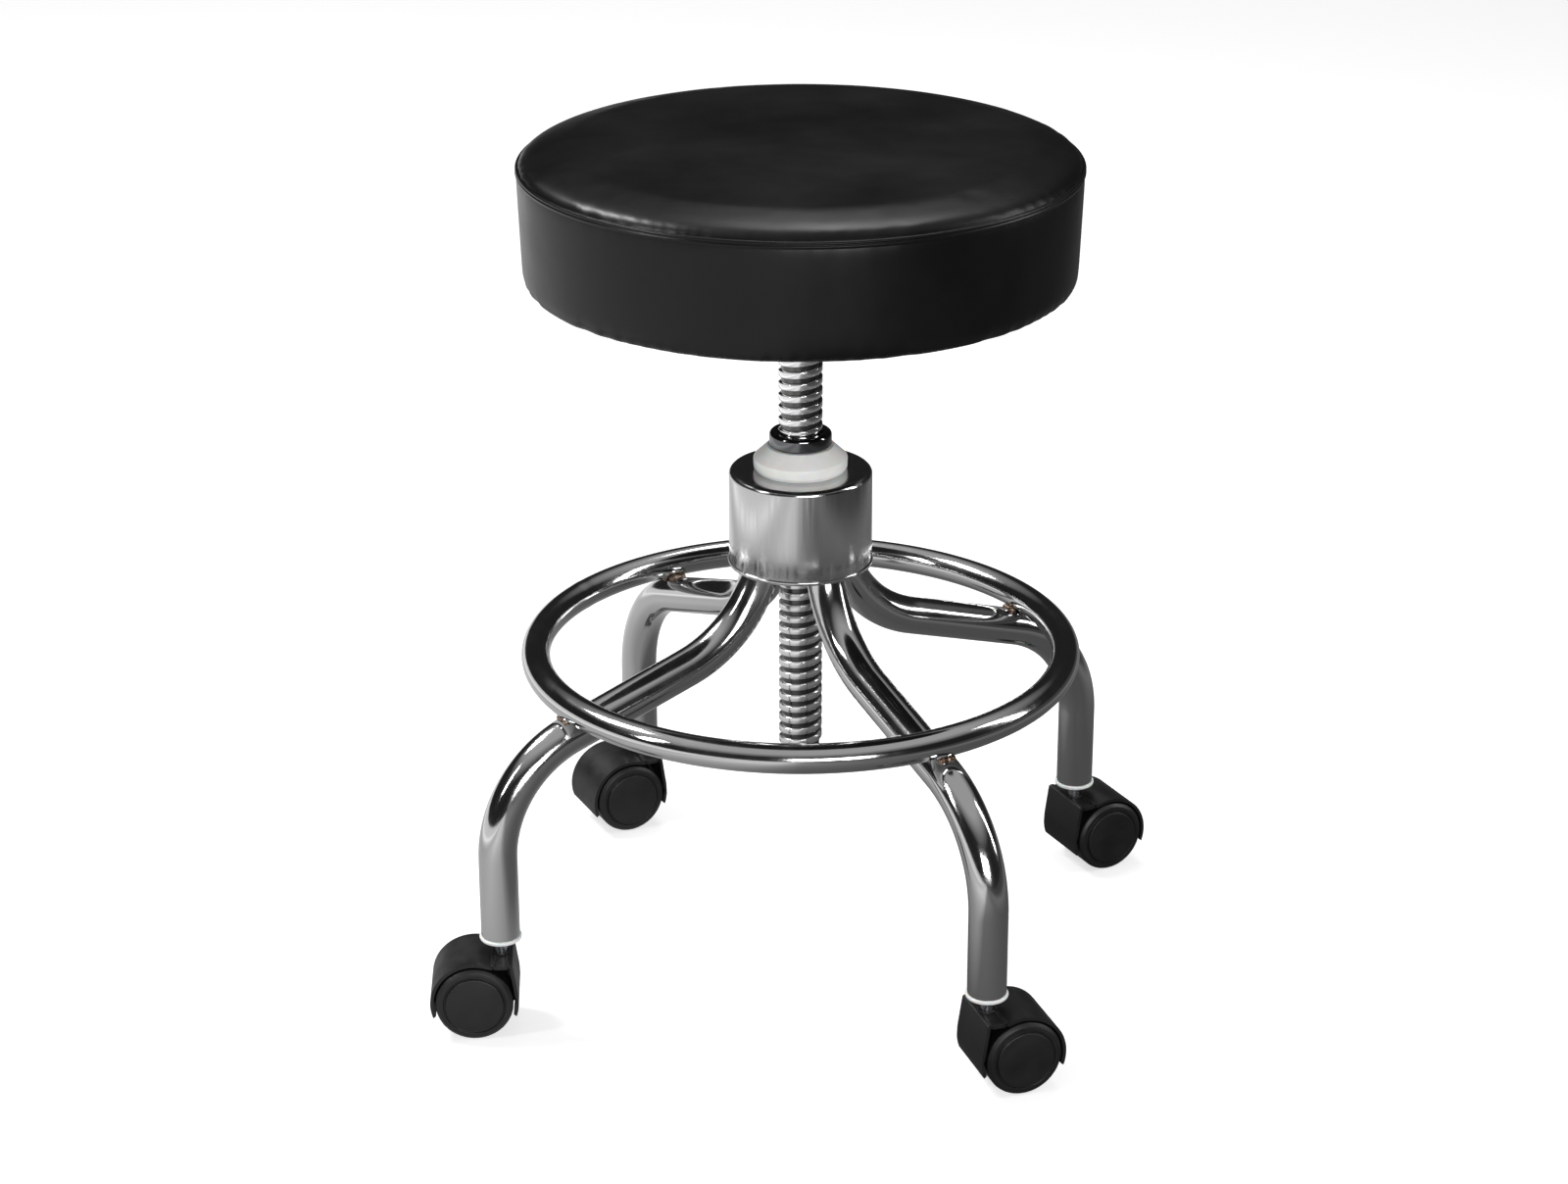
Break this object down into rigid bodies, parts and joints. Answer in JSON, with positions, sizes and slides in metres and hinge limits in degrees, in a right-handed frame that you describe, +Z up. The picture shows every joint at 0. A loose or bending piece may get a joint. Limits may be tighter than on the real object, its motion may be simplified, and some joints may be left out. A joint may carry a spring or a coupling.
{
  "type": "adjustable swivel stool",
  "caption": "Backless swivel stool with a round padded seat on a threaded steel lead screw, a chromed hub, bent tube legs, a foot ring and twin-wheel casters.",
  "frame": {"origin": "on the floor, under the axis of the lead screw, at the height the seat has at rest", "axes": "+Z up along the lead screw; the legs lie along +X, -Y, +Y and -X, and the one along -Y is called front"},
  "size_m": [0.5491, 0.5109, 0.558],
  "materials": {
    "vinyl": "smooth black upholstery vinyl, satin",
    "chrome": "bright chrome plate on steel",
    "zinc_steel": "bright zinc plated steel",
    "black_steel": "black powder coat",
    "weld_bead": "plated weld bead, heat tinted",
    "white_nylon": "moulded white nylon",
    "black_nylon": "moulded black nylon, satin",
    "plywood": "raw plywood",
    "foam": "cut polyurethane foam",
    "dust_cloth": "black non-woven cloth"
  },
  "bodies": {
    "base": {"hub_shell": "chrome", "hub_base_plate": "chrome", "screw_nut": "zinc_steel", "nylon_bushing": "white_nylon", "leg_front": "chrome", "leg_right": "chrome", "leg_back": "chrome", "leg_left": "chrome", "foot_ring": "chrome", "ring_welds": "weld_bead", "leg_welds": "weld_bead", "stem_socket_front": "white_nylon", "stem_socket_right": "white_nylon", "stem_socket_back": "white_nylon", "stem_socket_left": "white_nylon"},
    "collar": {"collar_ring": "chrome"},
    "seat": {"lead_screw": "chrome", "screw_weld": "weld_bead", "seat_plate": "black_steel", "plate_bolts": "zinc_steel", "board_nuts": "zinc_steel", "seat_board": "plywood", "seat_foam": "foam", "seat_top_panel": "vinyl", "seat_side_band": "vinyl", "seat_welt": "vinyl", "dust_cover": "dust_cloth", "cover_staples": "zinc_steel"},
    "caster_front": {"caster_hood_front": "black_nylon", "caster_stem_front": "zinc_steel", "caster_axle_front": "zinc_steel"},
    "wheel_front_a": {"wheel_front_a": "black_nylon"},
    "wheel_front_b": {"wheel_front_b": "black_nylon"},
    "caster_right": {"caster_hood_right": "black_nylon", "caster_stem_right": "zinc_steel", "caster_axle_right": "zinc_steel"},
    "wheel_right_a": {"wheel_right_a": "black_nylon"},
    "wheel_right_b": {"wheel_right_b": "black_nylon"},
    "caster_back": {"caster_hood_back": "black_nylon", "caster_stem_back": "zinc_steel", "caster_axle_back": "zinc_steel"},
    "wheel_back_a": {"wheel_back_a": "black_nylon"},
    "wheel_back_b": {"wheel_back_b": "black_nylon"},
    "caster_left": {"caster_hood_left": "black_nylon", "caster_stem_left": "zinc_steel", "caster_axle_left": "zinc_steel"},
    "wheel_left_a": {"wheel_left_a": "black_nylon"},
    "wheel_left_b": {"wheel_left_b": "black_nylon"}
  },
  "joints": [
    {"name": "seat_turn", "type": "hinge", "parent": "base", "child": "collar", "pos_m": [0, 0, 0.3575], "axis": [0, 0, 1], "range_deg": [-4050, 2700]},
    {"name": "seat_lift", "type": "slide", "parent": "collar", "child": "seat", "axis": [0, 0, 1], "range_m": [-0.0901, 0.0601]},
    {"name": "swivel_front", "type": "hinge", "parent": "base", "child": "caster_front", "pos_m": [0, -0.2255, 0.0645], "axis": [0, 0, 1], "continuous": true},
    {"name": "roll_front_a", "type": "hinge", "parent": "caster_front", "child": "wheel_front_a", "pos_m": [0.01712, -0.22914, 0.025], "axis": [0.2079, 0.9781, 0], "continuous": true},
    {"name": "roll_front_b", "type": "hinge", "parent": "caster_front", "child": "wheel_front_b", "pos_m": [0.01712, -0.22914, 0.025], "axis": [0.2079, 0.9781, 0], "continuous": true},
    {"name": "swivel_right", "type": "hinge", "parent": "base", "child": "caster_right", "pos_m": [0.2255, 0, 0.0645], "axis": [0, 0, 1], "continuous": true},
    {"name": "roll_right_a", "type": "hinge", "parent": "caster_right", "child": "wheel_right_a", "pos_m": [0.24296, -0.00122, 0.025], "axis": [0.0698, 0.9976, 0], "continuous": true},
    {"name": "roll_right_b", "type": "hinge", "parent": "caster_right", "child": "wheel_right_b", "pos_m": [0.24296, -0.00122, 0.025], "axis": [0.0698, 0.9976, 0], "continuous": true},
    {"name": "swivel_back", "type": "hinge", "parent": "base", "child": "caster_back", "pos_m": [0, 0.2255, 0.0645], "axis": [0, 0, 1], "continuous": true},
    {"name": "roll_back_a", "type": "hinge", "parent": "caster_back", "child": "wheel_back_a", "pos_m": [-0.01743, 0.22703, 0.025], "axis": [-0.0872, -0.9962, 0], "continuous": true},
    {"name": "roll_back_b", "type": "hinge", "parent": "caster_back", "child": "wheel_back_b", "pos_m": [-0.01743, 0.22703, 0.025], "axis": [-0.0872, -0.9962, 0], "continuous": true},
    {"name": "swivel_left", "type": "hinge", "parent": "base", "child": "caster_left", "pos_m": [-0.2255, 0, 0.0645], "axis": [0, 0, 1], "continuous": true},
    {"name": "roll_left_a", "type": "hinge", "parent": "caster_left", "child": "wheel_left_a", "pos_m": [-0.24095, 0.00822, 0.025], "axis": [-0.4695, -0.8829, 0], "continuous": true},
    {"name": "roll_left_b", "type": "hinge", "parent": "caster_left", "child": "wheel_left_b", "pos_m": [-0.24095, 0.00822, 0.025], "axis": [-0.4695, -0.8829, 0], "continuous": true}
  ],
  "couplings": [
    {"joint": "seat_lift", "follows": "seat_turn", "m_per_rad": 0.0012732}
  ]
}
